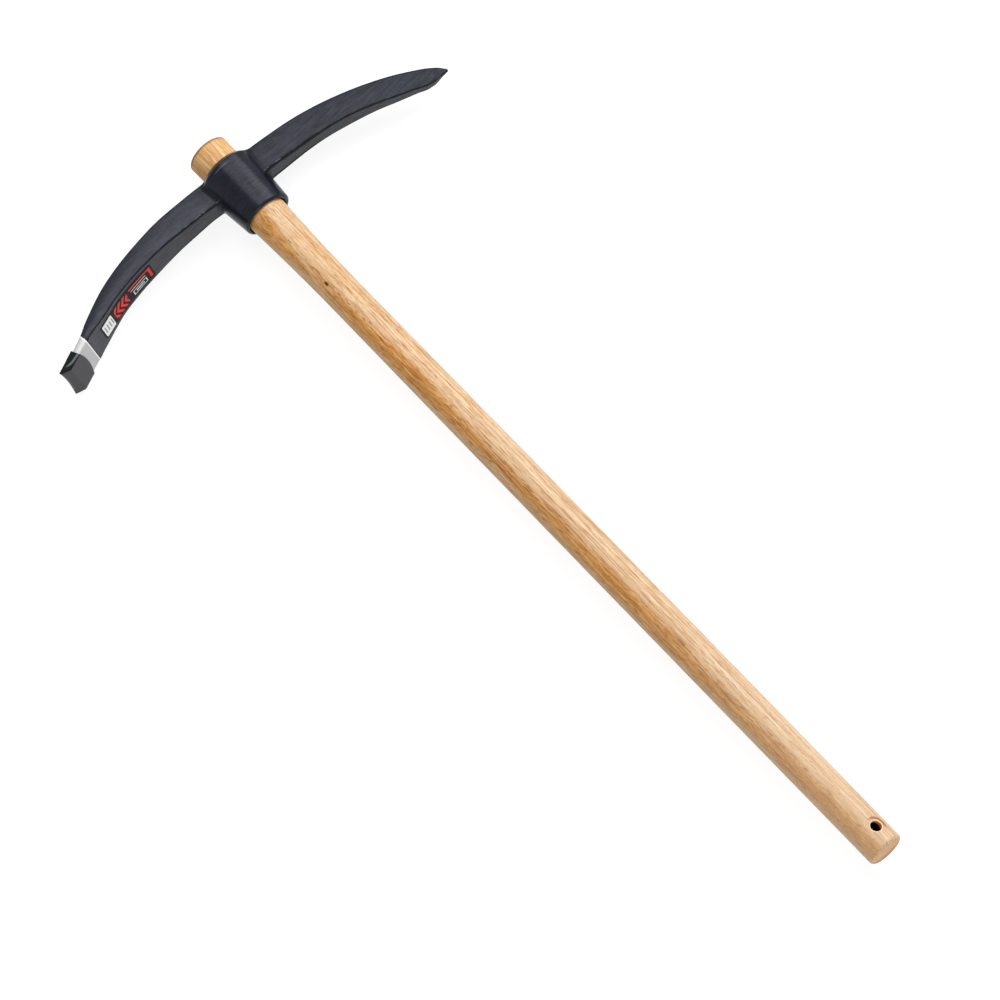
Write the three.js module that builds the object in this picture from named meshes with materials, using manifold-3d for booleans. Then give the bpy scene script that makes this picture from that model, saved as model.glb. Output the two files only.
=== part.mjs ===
// A pick with a pointed arm and a narrow chisel arm on a drop-on wooden handle.
// Millimetres. The handle's axis is X and runs from the crown (x = 0) to the butt.
// The point is on the +Y side, the chisel on the -Y side, and Z is across the arms.
import * as THREE from 'three';
import { mergeVertices } from 'three/addons/utils/BufferGeometryUtils.js';
import Module from 'manifold-3d';

const wasm = await Module();
wasm.setup();

// Clearances
const fitGap = 0.3;
const cutMargin = 6;

// Handle
const handleLength = 800;
const crownRadius = 18.1;
const crownRounding = 1.1;
const seatEndRadius = 17.1;
const throatLength = 100;
const shaftRadius = 14.85;
const shaftSwell = 0.28;
const buttRounding = 2.8;
const hangHoleRadius = 4.3;
const hangHoleInset = 16.4;
const hangHoleTurn = THREE.MathUtils.degToRad(24.6);
const countersinkRadius = 5.2;
const countersinkDepth = 0.9;
const handleSides = 48;
const throatSteps = 12;
const shaftSteps = 16;
const hangHoleSides = 32;

// Steps in every quarter-round edge
const roundingSteps = 4;

// Eye of the head: a cone with a rounded top shoulder, stretched towards the point
const eyeTop = 22.6;
const eyeBottom = 77.1;
const eyeTopRadius = 25.6;
const eyeBottomRadius = 20.6;
const eyeTopStretchShare = 0.012;
const eyeBottomStretchShare = 0.073;
const eyeShoulder = 2.6;
const eyeBottomBevel = 1;
const eyeMouthBevel = 0.7;
const eyeSides = 72;

// Chisel arm, from the middle of the eye out to where its straight bit starts
const chiselReach = 175;
const chiselSag = 32.6;
const chiselDepth = 22.6;
const chiselWidth = 40;
const chiselStationShares = [
  // reach, sag below the top rim, depth, width
  [0.074, 0.015, 1.1, 0.68],
  [0.114, -0.0045, 1.05, 0.635],
  [0.126, -0.0105, 1.015, 0.585],
  [0.143, -0.0185, 0.985, 0.555],
  [0.171, -0.03, 0.967, 0.55],
  [0.206, -0.038, 0.958, 0.565],
  [0.257, -0.043, 0.954, 0.59],
  [0.4, -0.032, 0.91, 0.675],
  [0.531, 0.06, 0.828, 0.745],
  [0.68, 0.213, 0.737, 0.78],
  [0.8, 0.408, 0.643, 0.795],
  [0.903, 0.667, 0.54, 0.85],
  [0.957, 0.84, 0.432, 0.94],
  [1, 1, 0.319, 1],
];

// Bit: the straight end of the chisel arm, ground to an edge from the concave side
const bitAngle = THREE.MathUtils.degToRad(24.5);
const bitLength = 32.4;
const bitBevelLength = 5;
const bitBevelThickness = 5.2;
const bitEdgeThickness = 0.8;
const bitEdgeWidth = 39.6;

// Pointed arm
const pointReach = 186;
const pointSag = 64;
const pointDepth = 25.7;
const pointWidth = 20;
const pointStationShares = [
  // reach, sag below the top rim, depth, width
  [0.07, 0.0315, 1.1, 1.5],
  [0.11, 0.0423, 1.06, 1.32],
  [0.1215, 0.0454, 1.02, 1.13],
  [0.137, 0.0496, 0.985, 1.045],
  [0.161, 0.0561, 0.965, 1.02],
  [0.194, 0.065, 0.96, 1],
  [0.242, 0.077, 0.963, 0.93],
  [0.328, 0.105, 0.952, 0.84],
  [0.45, 0.18, 0.892, 0.79],
  [0.573, 0.294, 0.824, 0.78],
  [0.698, 0.433, 0.776, 0.65],
  [0.819, 0.605, 0.724, 0.53],
  [0.883, 0.717, 0.645, 0.455],
  [0.944, 0.838, 0.545, 0.37],
  [0.976, 0.919, 0.36, 0.26],
  [1, 1, 0.06, 0.08],
];

// Cross-section of both arms: a flat bar with bevelled corners and crowned sides
const cornerBevelShare = 0.065;
const sideCrownShare = 0.035;
const stepsPerStation = 4;

// Slip-on guard over the bit
const guardWall = 0.8;
const guardMouth = 15.4;
const guardMouthBulge = 2.5;
const guardEnd = 36.2;
const guardEndFlare = 2.2;
const guardBendFlare = 1.5;
const guardEndHollow = 1.2;
const guardBend = 30;
const guardLipThickness = 1.6;
const guardCornerShare = 0.4;
const guardEdgeSteps = 12;

// Sticker on the concave face of the chisel arm
const labelThickness = 0.3;
const labelStartShare = 0.6346;
const labelEndShare = 0.9123;
const labelNearSide = 9.6;
const labelFarSide = -11.8;
const labelSteps = 14;

function point2(x, y) {
  return new THREE.Vector2(x, y);
}

// A closed mesh as a solid, for joining and cutting
function toSolid(geometry) {
  const bare = geometry.clone();
  bare.deleteAttribute('normal');
  bare.deleteAttribute('uv');
  const merged = mergeVertices(bare);
  return new wasm.Manifold(new wasm.Mesh({
    numProp: 3,
    vertProperties: new Float32Array(merged.attributes.position.array),
    triVerts: new Uint32Array(merged.index.array),
  }));
}

function toGeometry(solid) {
  const mesh = solid.getMesh();
  const geometry = new THREE.BufferGeometry();
  geometry.setAttribute('position', new THREE.BufferAttribute(mesh.vertProperties, 3));
  geometry.setIndex(new THREE.BufferAttribute(mesh.triVerts, 1));
  geometry.computeVertexNormals();
  return geometry;
}

// A profile of (radius, x) points turned round the X axis
function turned(profile, sides) {
  const geometry = new THREE.LatheGeometry(profile, sides);
  geometry.rotateZ(-Math.PI / 2);
  return geometry;
}

// Rings of equal count joined one to the next and closed by a flat cap at each end
function loft(rings) {
  const count = rings[0].length;
  const positions = rings.flat().flatMap((corner) => corner.toArray());
  const faces = [];
  for (let ring = 0; ring + 1 < rings.length; ring += 1) {
    for (let side = 0; side < count; side += 1) {
      const a = ring * count + side;
      const b = ring * count + (side + 1) % count;
      faces.push(a, b, b + count);
      faces.push(a, b + count, a + count);
    }
  }
  const last = (rings.length - 1) * count;
  for (let side = 1; side + 1 < count; side += 1) {
    faces.push(0, side + 1, side);
    faces.push(last, last + side, last + side + 1);
  }
  const geometry = new THREE.BufferGeometry();
  geometry.setAttribute('position', new THREE.Float32BufferAttribute(positions, 3));
  geometry.setIndex(faces);
  return geometry;
}

// Radius of the handle where it sits in the eye: a slight, even taper
function seatRadius(x) {
  return THREE.MathUtils.mapLinear(x, 0, eyeBottom, crownRadius, seatEndRadius);
}

// A quarter-round edge between two radii, from one x to another
function roundedEdge(centre, radius, fromAngle, toAngle) {
  const corners = [];
  for (let step = 0; step <= roundingSteps; step += 1) {
    const angle = THREE.MathUtils.lerp(fromAngle, toAngle, step / roundingSteps);
    corners.push(point2(centre.x + radius * Math.cos(angle), centre.y + radius * Math.sin(angle)));
  }
  return corners;
}

function makeHandle() {
  const throatEnd = eyeBottom + throatLength;
  const throat = new THREE.QuadraticBezierCurve(
    point2(seatEndRadius, eyeBottom),
    point2(shaftRadius, eyeBottom + throatLength / 2),
    point2(shaftRadius, throatEnd),
  );
  const buttStart = handleLength - buttRounding;
  const shaft = new THREE.QuadraticBezierCurve(
    point2(shaftRadius, throatEnd),
    point2(shaftRadius + 2 * shaftSwell, (throatEnd + buttStart) / 2),
    point2(shaftRadius, buttStart),
  );
  const crownCentre = point2(crownRadius - crownRounding, crownRounding);
  const buttCentre = point2(shaftRadius - buttRounding, buttStart);
  const profile = [
    point2(0, 0),
    ...roundedEdge(crownCentre, crownRounding, -Math.PI / 2, 0),
    ...throat.getPoints(throatSteps),
    ...shaft.getPoints(shaftSteps).slice(1, -1),
    ...roundedEdge(buttCentre, buttRounding, 0, Math.PI / 2),
    point2(0, handleLength),
  ];
  return toSolid(turned(profile, handleSides)).subtract(makeHangHole());
}

// The hole for hanging the tool up, countersunk on both sides of the handle
function makeHangHole() {
  const reach = shaftRadius + cutMargin;
  const hole = new THREE.CylinderGeometry(
    hangHoleRadius,
    hangHoleRadius,
    2 * reach,
    hangHoleSides,
  );
  const slope = (countersinkRadius - hangHoleRadius) / countersinkDepth;
  const mouthRadius = countersinkRadius + slope * cutMargin;
  const sinkLength = countersinkDepth + cutMargin;
  const sink = new THREE.CylinderGeometry(mouthRadius, hangHoleRadius, sinkLength, hangHoleSides);
  sink.translate(0, shaftRadius - countersinkDepth + sinkLength / 2, 0);
  const otherSink = sink.clone().rotateX(Math.PI);
  let cutter = toSolid(hole);
  for (const geometry of [sink, otherSink]) {
    cutter = cutter.add(toSolid(geometry));
  }
  return cutter
    .rotate([THREE.MathUtils.radToDeg(Math.PI / 2 - hangHoleTurn), 0, 0])
    .translate([handleLength - hangHoleInset, 0, 0]);
}

// The arm's stations as a smooth curve of its outer edge and one of its depth and half width
function armCurves(stationShares, reach, sag, depth, width) {
  const outer = stationShares.map((row) => new THREE.Vector3(
    eyeTop + row[1] * sag,
    row[0] * reach,
    0,
  ));
  const section = stationShares.map((row) => new THREE.Vector3(
    row[2] * depth,
    row[3] * width / 2,
    0,
  ));
  return {
    outer: new THREE.CatmullRomCurve3(outer),
    section: new THREE.CatmullRomCurve3(section),
    steps: (stationShares.length - 1) * stepsPerStation,
  };
}

// Outer and inner edge points of the arm at a share of its length, with its half width
function armStation(curves, share) {
  const outer = curves.outer.getPoint(share);
  const along = curves.outer.getTangent(share);
  const inward = new THREE.Vector3(along.y, -along.x, 0);
  const { x: depth, y: halfWidth } = curves.section.getPoint(share);
  const inner = outer.clone().addScaledVector(inward, depth);
  return { outer, inward, inner, depth, halfWidth };
}

// One ring of a bar: bevelled corners, with the two sides swelling by the crown
function barRing(outer, inward, depth, halfWidth, bevel, crown) {
  const halfRing = [
    [0, halfWidth - bevel],
    [bevel, halfWidth],
    [depth / 2, halfWidth + crown],
    [depth - bevel, halfWidth],
    [depth, halfWidth - bevel],
  ];
  const otherHalf = halfRing.map(([across, z]) => [across, -z]).reverse();
  return [...halfRing, ...otherHalf].map(([across, z]) => {
    const corner = outer.clone().addScaledVector(inward, across);
    corner.z = z;
    return corner;
  });
}

function armRings(curves) {
  const rings = [];
  for (let step = 0; step <= curves.steps; step += 1) {
    const { outer, inward, depth, halfWidth } = armStation(curves, step / curves.steps);
    const bevel = cornerBevelShare * depth;
    rings.push(barRing(outer, inward, depth, halfWidth, bevel, sideCrownShare * halfWidth));
  }
  return rings;
}

// Rings are drawn with reach along +Y, and the chisel arm is turned to the -Y side
function mirrored(rings) {
  return rings.map((ring) => ring.map((corner) => new THREE.Vector3(corner.x, -corner.y, corner.z))
    .reverse());
}

// Thickness of the bit at a distance along it
function bitThickness(along) {
  const startThickness = chiselStationShares.at(-1)[2] * chiselDepth;
  const bevelStart = bitLength - bitBevelLength;
  if (along <= bevelStart) {
    return THREE.MathUtils.mapLinear(along, 0, bevelStart, startThickness, bitBevelThickness);
  }
  return THREE.MathUtils.mapLinear(along, bevelStart, bitLength, bitBevelThickness, bitEdgeThickness);
}

// Half width of the bit, which narrows slightly so that the guard can slide off
function bitHalfWidth(along) {
  return THREE.MathUtils.mapLinear(along, 0, bitLength, chiselWidth, bitEdgeWidth) / 2;
}

// The bit's own frame: X along it to the edge, Y from the outer to the concave face
const bitFrame = new THREE.Group();
bitFrame.position.set(eyeTop + chiselSag, -chiselReach, 0);
bitFrame.rotation.z = bitAngle - Math.PI / 2;
bitFrame.updateMatrix();

// Rings of a bar in the bit's frame, each from { along, from, to, halfWidth, bevel }
function bitRings(stations) {
  const across = new THREE.Vector3(0, 1, 0);
  return stations.map(({ along, from, to, halfWidth, bevel }) => {
    const start = new THREE.Vector3(along, from, 0);
    return barRing(start, across, to - from, halfWidth, bevel, 0).reverse();
  });
}

// The bit's stations, grown by a clearance all round
function bitStations(start, clearance) {
  const stops = [start, bitLength - bitBevelLength, bitLength];
  return stops.map((along, index) => ({
    along: along + (index > 0 ? clearance : 0),
    from: -clearance,
    to: bitThickness(along) + clearance,
    halfWidth: bitHalfWidth(along) + clearance,
    bevel: cornerBevelShare * bitThickness(along),
  }));
}

const chiselCurves = armCurves(
  chiselStationShares,
  chiselReach,
  chiselSag,
  chiselDepth,
  chiselWidth,
);
const pointCurves = armCurves(pointStationShares, pointReach, pointSag, pointDepth, pointWidth);

// How much further out than round the eye reaches on the point side, at its height x
function eyeStretch(x) {
  return THREE.MathUtils.mapLinear(x, eyeTop, eyeBottom, eyeTopStretchShare, eyeBottomStretchShare);
}

function makeEyeBody() {
  const shoulderCentre = point2(eyeTopRadius - eyeShoulder, eyeTop + eyeShoulder);
  const cone = turned([
    point2(0, eyeTop),
    ...roundedEdge(shoulderCentre, eyeShoulder, -Math.PI / 2, 0),
    point2(eyeBottomRadius, eyeBottom - eyeBottomBevel),
    point2(eyeBottomRadius - eyeBottomBevel, eyeBottom),
    point2(0, eyeBottom),
  ], eyeSides);
  const corners = cone.attributes.position;
  for (let index = 0; index < corners.count; index += 1) {
    const y = corners.getY(index);
    if (y > 0) {
      corners.setY(index, y * (1 + eyeStretch(corners.getX(index))));
    }
  }
  return toSolid(cone);
}

// What the handle passes through: its seat taper plus the fit, bevelled at both mouths
function makeBore() {
  const bore = (x) => seatRadius(x) + fitGap;
  const above = eyeTop - cutMargin;
  const below = eyeBottom + cutMargin;
  return toSolid(turned([
    point2(0, above),
    point2(bore(above) + eyeMouthBevel, above),
    point2(bore(eyeTop) + eyeMouthBevel, eyeTop),
    point2(bore(eyeTop + eyeMouthBevel), eyeTop + eyeMouthBevel),
    point2(bore(eyeBottom - eyeMouthBevel), eyeBottom - eyeMouthBevel),
    point2(bore(eyeBottom) + eyeMouthBevel, eyeBottom),
    point2(bore(below) + eyeMouthBevel, below),
    point2(0, below),
  ], handleSides));
}

// Eye, pointed arm and chisel arm forged in one piece
function makePickHead() {
  const bit = bitRings(bitStations(0, 0).slice(1)).map((ring) => ring
    .map((corner) => corner.applyMatrix4(bitFrame.matrix)));
  const chiselArm = loft([...mirrored(armRings(chiselCurves)), ...bit]);
  const pointArm = loft(armRings(pointCurves));
  return makeEyeBody()
    .add(toSolid(pointArm))
    .add(toSolid(chiselArm))
    .subtract(makeBore());
}

// Plan outline of the guard: its mouth bows towards the eye and its end is hollow
function guardPlan() {
  const halfWidth = bitHalfWidth(0) + fitGap + guardWall + guardEndFlare;
  const plan = new THREE.Shape();
  plan.moveTo(guardMouth, -halfWidth);
  plan.lineTo(guardEnd, -halfWidth);
  plan.quadraticCurveTo(guardEnd - 2 * guardEndHollow, 0, guardEnd, halfWidth);
  plan.lineTo(guardMouth, halfWidth);
  plan.quadraticCurveTo(guardMouth - 2 * guardMouthBulge, 0, guardMouth, -halfWidth);
  const height = bitBevelThickness + 2 * cutMargin;
  const geometry = new THREE.ExtrudeGeometry(plan, {
    depth: height,
    bevelEnabled: false,
    curveSegments: guardEdgeSteps,
  });
  geometry.translate(0, 0, -cutMargin);
  geometry.rotateX(-Math.PI / 2);
  return toSolid(geometry);
}

// The guard is a sleeve closed at the edge, hollowed by the bit and its clearance
function makeGuard() {
  const grow = fitGap + guardWall;
  const startWidth = bitHalfWidth(0) + grow;
  const backEnd = guardMouth - guardMouthBulge - cutMargin;
  const outside = [
    { along: backEnd, to: bitThickness(backEnd) + grow, halfWidth: startWidth },
    { along: guardBend, to: bitBevelThickness + grow, halfWidth: startWidth + guardBendFlare },
    { along: guardEnd, to: guardLipThickness - grow, halfWidth: startWidth + guardEndFlare },
  ].map((station) => ({ ...station, from: -grow, bevel: guardCornerShare * guardLipThickness }));
  const cavity = bitStations(backEnd - cutMargin, fitGap);
  return toSolid(loft(bitRings(outside)))
    .intersect(guardPlan())
    .subtract(toSolid(loft(bitRings(cavity))));
}

// A thin strip that follows the concave face of the chisel arm
function makeLabel() {
  const edge = [];
  for (let step = -1; step <= labelSteps + 1; step += 1) {
    const share = THREE.MathUtils.lerp(labelStartShare, labelEndShare, step / labelSteps);
    edge.push(armStation(chiselCurves, share).inner);
  }
  const rings = [];
  for (let index = 1; index + 1 < edge.length; index += 1) {
    const along = edge[index + 1].clone().sub(edge[index - 1]).normalize();
    const outward = new THREE.Vector3(along.y, -along.x, 0);
    const under = edge[index].clone().addScaledVector(outward, fitGap);
    const over = edge[index].clone().addScaledVector(outward, fitGap + labelThickness);
    rings.push([
      new THREE.Vector3(under.x, under.y, labelNearSide),
      new THREE.Vector3(over.x, over.y, labelNearSide),
      new THREE.Vector3(over.x, over.y, labelFarSide),
      new THREE.Vector3(under.x, under.y, labelFarSide),
    ]);
  }
  return toSolid(loft(mirrored(rings)));
}

function namedMesh(name, solid, colour, roughness, metalness) {
  const material = new THREE.MeshStandardMaterial({ color: colour, roughness, metalness });
  const mesh = new THREE.Mesh(toGeometry(solid), material);
  mesh.name = name;
  return mesh;
}

const handle = namedMesh('handle', makeHandle(), 0xe1b987, 0.45, 0);
const pickHead = namedMesh('pick_head', makePickHead(), 0x3c3f48, 0.5, 0.3);
const guard = namedMesh('edge_guard', makeGuard(), 0x44474a, 0.45, 0);
const label = namedMesh('label', makeLabel(), 0x1d1c1e, 0.4, 0);

bitFrame.add(guard);
const head = new THREE.Group();
head.add(pickHead, label, bitFrame);
const pick = new THREE.Group();
pick.add(handle, head);

export default pick;
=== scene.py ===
import math

import bpy
import numpy as np
from mathutils import Matrix, Vector


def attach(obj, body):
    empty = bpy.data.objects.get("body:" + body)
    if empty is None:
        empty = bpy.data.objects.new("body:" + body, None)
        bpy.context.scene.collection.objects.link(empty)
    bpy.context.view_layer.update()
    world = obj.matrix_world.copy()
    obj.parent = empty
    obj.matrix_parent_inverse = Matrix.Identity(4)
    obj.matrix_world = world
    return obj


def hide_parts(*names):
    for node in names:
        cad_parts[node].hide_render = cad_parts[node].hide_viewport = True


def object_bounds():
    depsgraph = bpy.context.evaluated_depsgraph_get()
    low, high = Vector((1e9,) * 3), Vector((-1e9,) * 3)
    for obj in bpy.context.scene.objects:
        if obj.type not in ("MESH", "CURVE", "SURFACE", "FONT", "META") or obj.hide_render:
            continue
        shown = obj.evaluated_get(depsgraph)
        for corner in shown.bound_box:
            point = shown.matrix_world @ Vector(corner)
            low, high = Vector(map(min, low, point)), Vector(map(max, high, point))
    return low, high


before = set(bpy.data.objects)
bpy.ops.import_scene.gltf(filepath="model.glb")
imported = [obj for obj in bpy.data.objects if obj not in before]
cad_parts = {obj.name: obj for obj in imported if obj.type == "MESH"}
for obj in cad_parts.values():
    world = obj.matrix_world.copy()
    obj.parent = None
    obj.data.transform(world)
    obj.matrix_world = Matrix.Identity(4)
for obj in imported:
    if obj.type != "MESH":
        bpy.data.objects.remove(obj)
CAD_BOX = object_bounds()
MM = 0.001

# Stands in a field of distances, in millimetres, for a surface that is nowhere near
FAR_AWAY = 9.0

# Sizes of the real tool in millimetres, the same as the solids' but for a slightly rounder butt
HANDLE_LENGTH = 800.0
CROWN_RADIUS = 18.1
CROWN_ROUNDING = 1.1
SEAT_END_RADIUS = 17.1
THROAT_LENGTH = 100.0
SHAFT_RADIUS = 14.85
SHAFT_SWELL = 0.28
BUTT_ROUNDING_ALONG = 3.0
BUTT_ROUNDING_ACROSS = 4.0
HOLE_RADIUS = 4.3
HOLE_PLACE = HANDLE_LENGTH - 16.4
HOLE_TURN = math.radians(24.6)
HOLE_MOUTH_RADIUS = 5.0
HOLE_MOUTH_DEPTH = 0.9

# The drill that cuts the hanging hole: how far and wide it reaches past the handle's surface,
# and how it widens over the mouths
DRILL_PAST_SHAFT = 4.0
DRILL_PAST_MOUTH = 3.5
DRILL_LIFT = 0.3
DRILL_DEPTH_SHARE = 1.6
DRILL_WIDENING = 0.5
DRILL_CURVE = 2.4

# The lean of the growth rings in the wood, and the place and width of the first dark one
RING_COSINE, RING_SINE = 0.848, 0.53
RING_START = 14.2
RING_WIDTH = 4.1
KNOT_PLACE = (162.0, -6.0, 13.6)

EYE_TOP = 22.6
EYE_BOTTOM = 77.1
EYE_TOP_RADIUS = 25.6
EYE_BOTTOM_RADIUS = 20.6
EYE_TOP_STRETCH = 0.012
EYE_BOTTOM_STRETCH = 0.073
EYE_SHOULDER = 3.4
EYE_BOTTOM_BEVEL = 1.2
BEVEL_ROUNDING = 0.25
EYE_MOUTH_ROUNDING = 0.6
BORE_FIT = 0.3
BORE_FLARE = 1.2
BORE_FLARE_LENGTH = 9.0
ROOT_FILLET = 2.8
CREASE_REACH = 3.4
EYE_REACH = 1.5

CHISEL_REACH, CHISEL_SAG, CHISEL_DEPTH, CHISEL_WIDTH = 175.0, 32.6, 22.6, 40.0
CHISEL_SHARES = [
    # reach, sag below the top rim, depth, width
    (0.06, 0.02, 0.985, 0.55),
    (0.114, -0.0045, 0.98, 0.55),
    (0.143, -0.0185, 0.975, 0.55),
    (0.171, -0.03, 0.967, 0.55),
    (0.206, -0.038, 0.958, 0.565),
    (0.257, -0.043, 0.954, 0.59),
    (0.4, -0.032, 0.91, 0.675),
    (0.531, 0.06, 0.828, 0.745),
    (0.68, 0.213, 0.737, 0.78),
    (0.8, 0.408, 0.643, 0.795),
    (0.903, 0.667, 0.54, 0.85),
    (0.957, 0.84, 0.432, 0.94),
    (1.0, 1.0, 0.319, 1.0),
]
BIT_ANGLE = math.radians(24.5)
BIT_LENGTH = 32.4
BIT_BEVEL_LENGTH = 5.0
BIT_BEVEL_THICKNESS = 5.2
BIT_EDGE_THICKNESS = 0.8
BIT_EDGE_WIDTH = 39.6
PAINT_END_OUTER = 1.3
PAINT_END_CONCAVE = 3.6
PAINT_END_ROUNDING = 0.15
PAINT_THICKNESS = 0.12
BRIGHT_UNDER_PAINT = 1.5

POINT_REACH, POINT_SAG, POINT_DEPTH, POINT_WIDTH = 186.0, 64.0, 25.7, 20.0
POINT_SHARES = [
    # reach, sag below the top rim, depth, width
    (0.06, 0.029, 0.985, 1.02),
    (0.11, 0.0423, 0.985, 1.02),
    (0.137, 0.0496, 0.98, 1.02),
    (0.161, 0.0561, 0.965, 1.02),
    (0.194, 0.065, 0.96, 1.0),
    (0.242, 0.077, 0.963, 0.93),
    (0.328, 0.105, 0.952, 0.84),
    (0.45, 0.18, 0.892, 0.79),
    (0.573, 0.294, 0.824, 0.78),
    (0.698, 0.433, 0.776, 0.65),
    (0.819, 0.605, 0.724, 0.53),
    (0.883, 0.717, 0.645, 0.455),
    (0.944, 0.838, 0.545, 0.37),
    (0.976, 0.919, 0.36, 0.26),
    (1.0, 1.0, 0.06, 0.08),
]
CORNER_ROUNDING_SHARE = 0.045
CORNER_ROUNDING_LIMIT = 0.6
SIDE_CROWN_SHARE = 0.035

GUARD_WALL = 0.8
GUARD_FIT = 0.3
GUARD_MOUTH = 15.4
GUARD_MOUTH_BULGE = 2.5
GUARD_BOW_LEAST = -0.4
GUARD_BEND = 30.0
GUARD_BEND_FLARE = 1.5
GUARD_END = 36.2
GUARD_END_FLARE = 2.2
GUARD_END_HOLLOW = 1.2
GUARD_LIP = 0.5
GUARD_EDGE_ROUNDING = 0.8
GUARD_END_ROUNDING = 0.35

LABEL_START = 96.3
LABEL_END = 160.7
LABEL_NEAR_SIDE = 9.6
LABEL_FAR_SIDE = -11.8
LABEL_CORNER = 2.4
LABEL_LIFT = 0.03
LABEL_THICKNESS = 0.25

# How finely the pieces are made, with spacings, cells and boxes in millimetres
HANDLE_SIDES = 144
DRILL_SIDES = 64
CROWN_STEPS = 6
SEAT_SPACING = 4.0
THROAT_STEPS = 24
SHAFT_SPACING = 8.0
HOLE_SPACING = 0.6
HOLE_REACH = 9.0
BUTT_STEPS = 16
MOUTH_STEPS = 8
LABEL_ROWS = 56
ARM_ROWS = 500
BIT_ROWS = 160
FORGING_CELL = 0.72
BIT_CELL = 0.45
GUARD_CELL = 0.42
SHARP_ON_WOOD = math.radians(38)
SHARP_ON_LABEL = math.radians(30)
FORGING_BOX = (17, -181, -28), (92, 189, 28)
BIT_BOX = (50, -208, -22), (76, -172, 22)
GUARD_BOX = (54, -212, -26), (80, -180, 26)
FOLLOWING_ROUNDS = 6
SETTLING_ROUNDS = 4

# The photograph's view, in metres
VIEW_PLACE = (1.49866, -0.28765, 2.90495)
VIEW_BACK = (0.3552, -0.0842, 0.9310)
VIEW_RIGHT = (0.6501, 0.7379, -0.1813)
VIEW_LENS = 145.70

# Lamps, each with its direction from the tool, its size in metres and its power in watts
LAMPS = {
    "key softbox": ((-0.13, 0.76, 0.64), 1.5, 39.5),
    "top softbox": ((-0.38, 0.2, 0.9), 1.2, 15.0),
    "end softbox": ((1.0, -0.15, 0.35), 1.2, 10.0),
}
LAMP_TARGET = (0.25, 0.0, 0.0)
LAMP_DISTANCE = 2.4

# Floor and world
FLOOR_REACH = 8.0
FLOOR_DROP = 0.0006
FLOOR_GLOW = 0.87
WORLD_TONE = (0.95, 0.97, 1.0, 1.0)
WORLD_LIGHT = 0.38
WHITE = (1.0, 1.0, 1.0, 1.0)
BLACK = (0.0, 0.0, 0.0, 1.0)


# Camera and lamps


def place_camera():
    """The photograph's view, found from the round rims of the handle and the eye."""
    back, right = Vector(VIEW_BACK).normalized(), Vector(VIEW_RIGHT)
    right = (right - right.dot(back) * back).normalized()
    up = back.cross(right)
    camera = bpy.data.objects.new("camera", bpy.data.cameras.new("camera"))
    camera.data.sensor_width = 36.0
    camera.data.lens = VIEW_LENS
    camera.data.clip_end = 50.0
    turn = Matrix((right, up, back)).transposed().to_4x4()
    camera.matrix_world = Matrix.Translation(VIEW_PLACE) @ turn
    bpy.context.scene.collection.objects.link(camera)
    bpy.context.scene.camera = camera


def softbox(name, direction, size, power):
    """A square lamp that looks at the tool from a direction."""
    lamp = bpy.data.objects.new(name, bpy.data.lights.new(name, "AREA"))
    lamp.data.shape = "SQUARE"
    lamp.data.size = size
    lamp.data.energy = power
    aim = Vector(direction).normalized()
    turn = aim.to_track_quat("Z", "Y").to_matrix().to_4x4()
    lamp.matrix_world = Matrix.Translation(Vector(LAMP_TARGET) + aim * LAMP_DISTANCE) @ turn
    bpy.context.scene.collection.objects.link(lamp)


# Shader maths


class Maths:
    """A number socket with the arithmetic operators."""

    def __init__(self, tree, socket):
        self.tree = tree
        self.socket = socket

    def using(self, operation, *others):
        return self.tree.node("ShaderNodeMath", {"operation": operation}, self, *others).out()

    def __add__(self, other):
        return self.using("ADD", other)

    def __radd__(self, other):
        return self.using("ADD", other)

    def __sub__(self, other):
        return self.using("SUBTRACT", other)

    def __rsub__(self, other):
        return self.tree.node("ShaderNodeMath", {"operation": "SUBTRACT"}, other, self).out()

    def __mul__(self, other):
        return self.using("MULTIPLY", other)

    def __rmul__(self, other):
        return self.using("MULTIPLY", other)

    def __truediv__(self, other):
        return self.using("DIVIDE", other)

    def __pow__(self, other):
        return self.using("POWER", other)

    def step(self, low, high):
        """0 below low, 1 above high, smooth between."""
        settings = {"interpolation_type": "SMOOTHSTEP"}
        ranged = self.tree.node("ShaderNodeMapRange", settings, self, low, high, 0.0, 1.0)
        return ranged.out("Result")


class Node:
    """A shader node whose outputs come as Maths."""

    def __init__(self, tree, node):
        self.tree = tree
        self.node = node

    def out(self, name=0):
        return Maths(self.tree, self.node.outputs[name])


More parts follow.
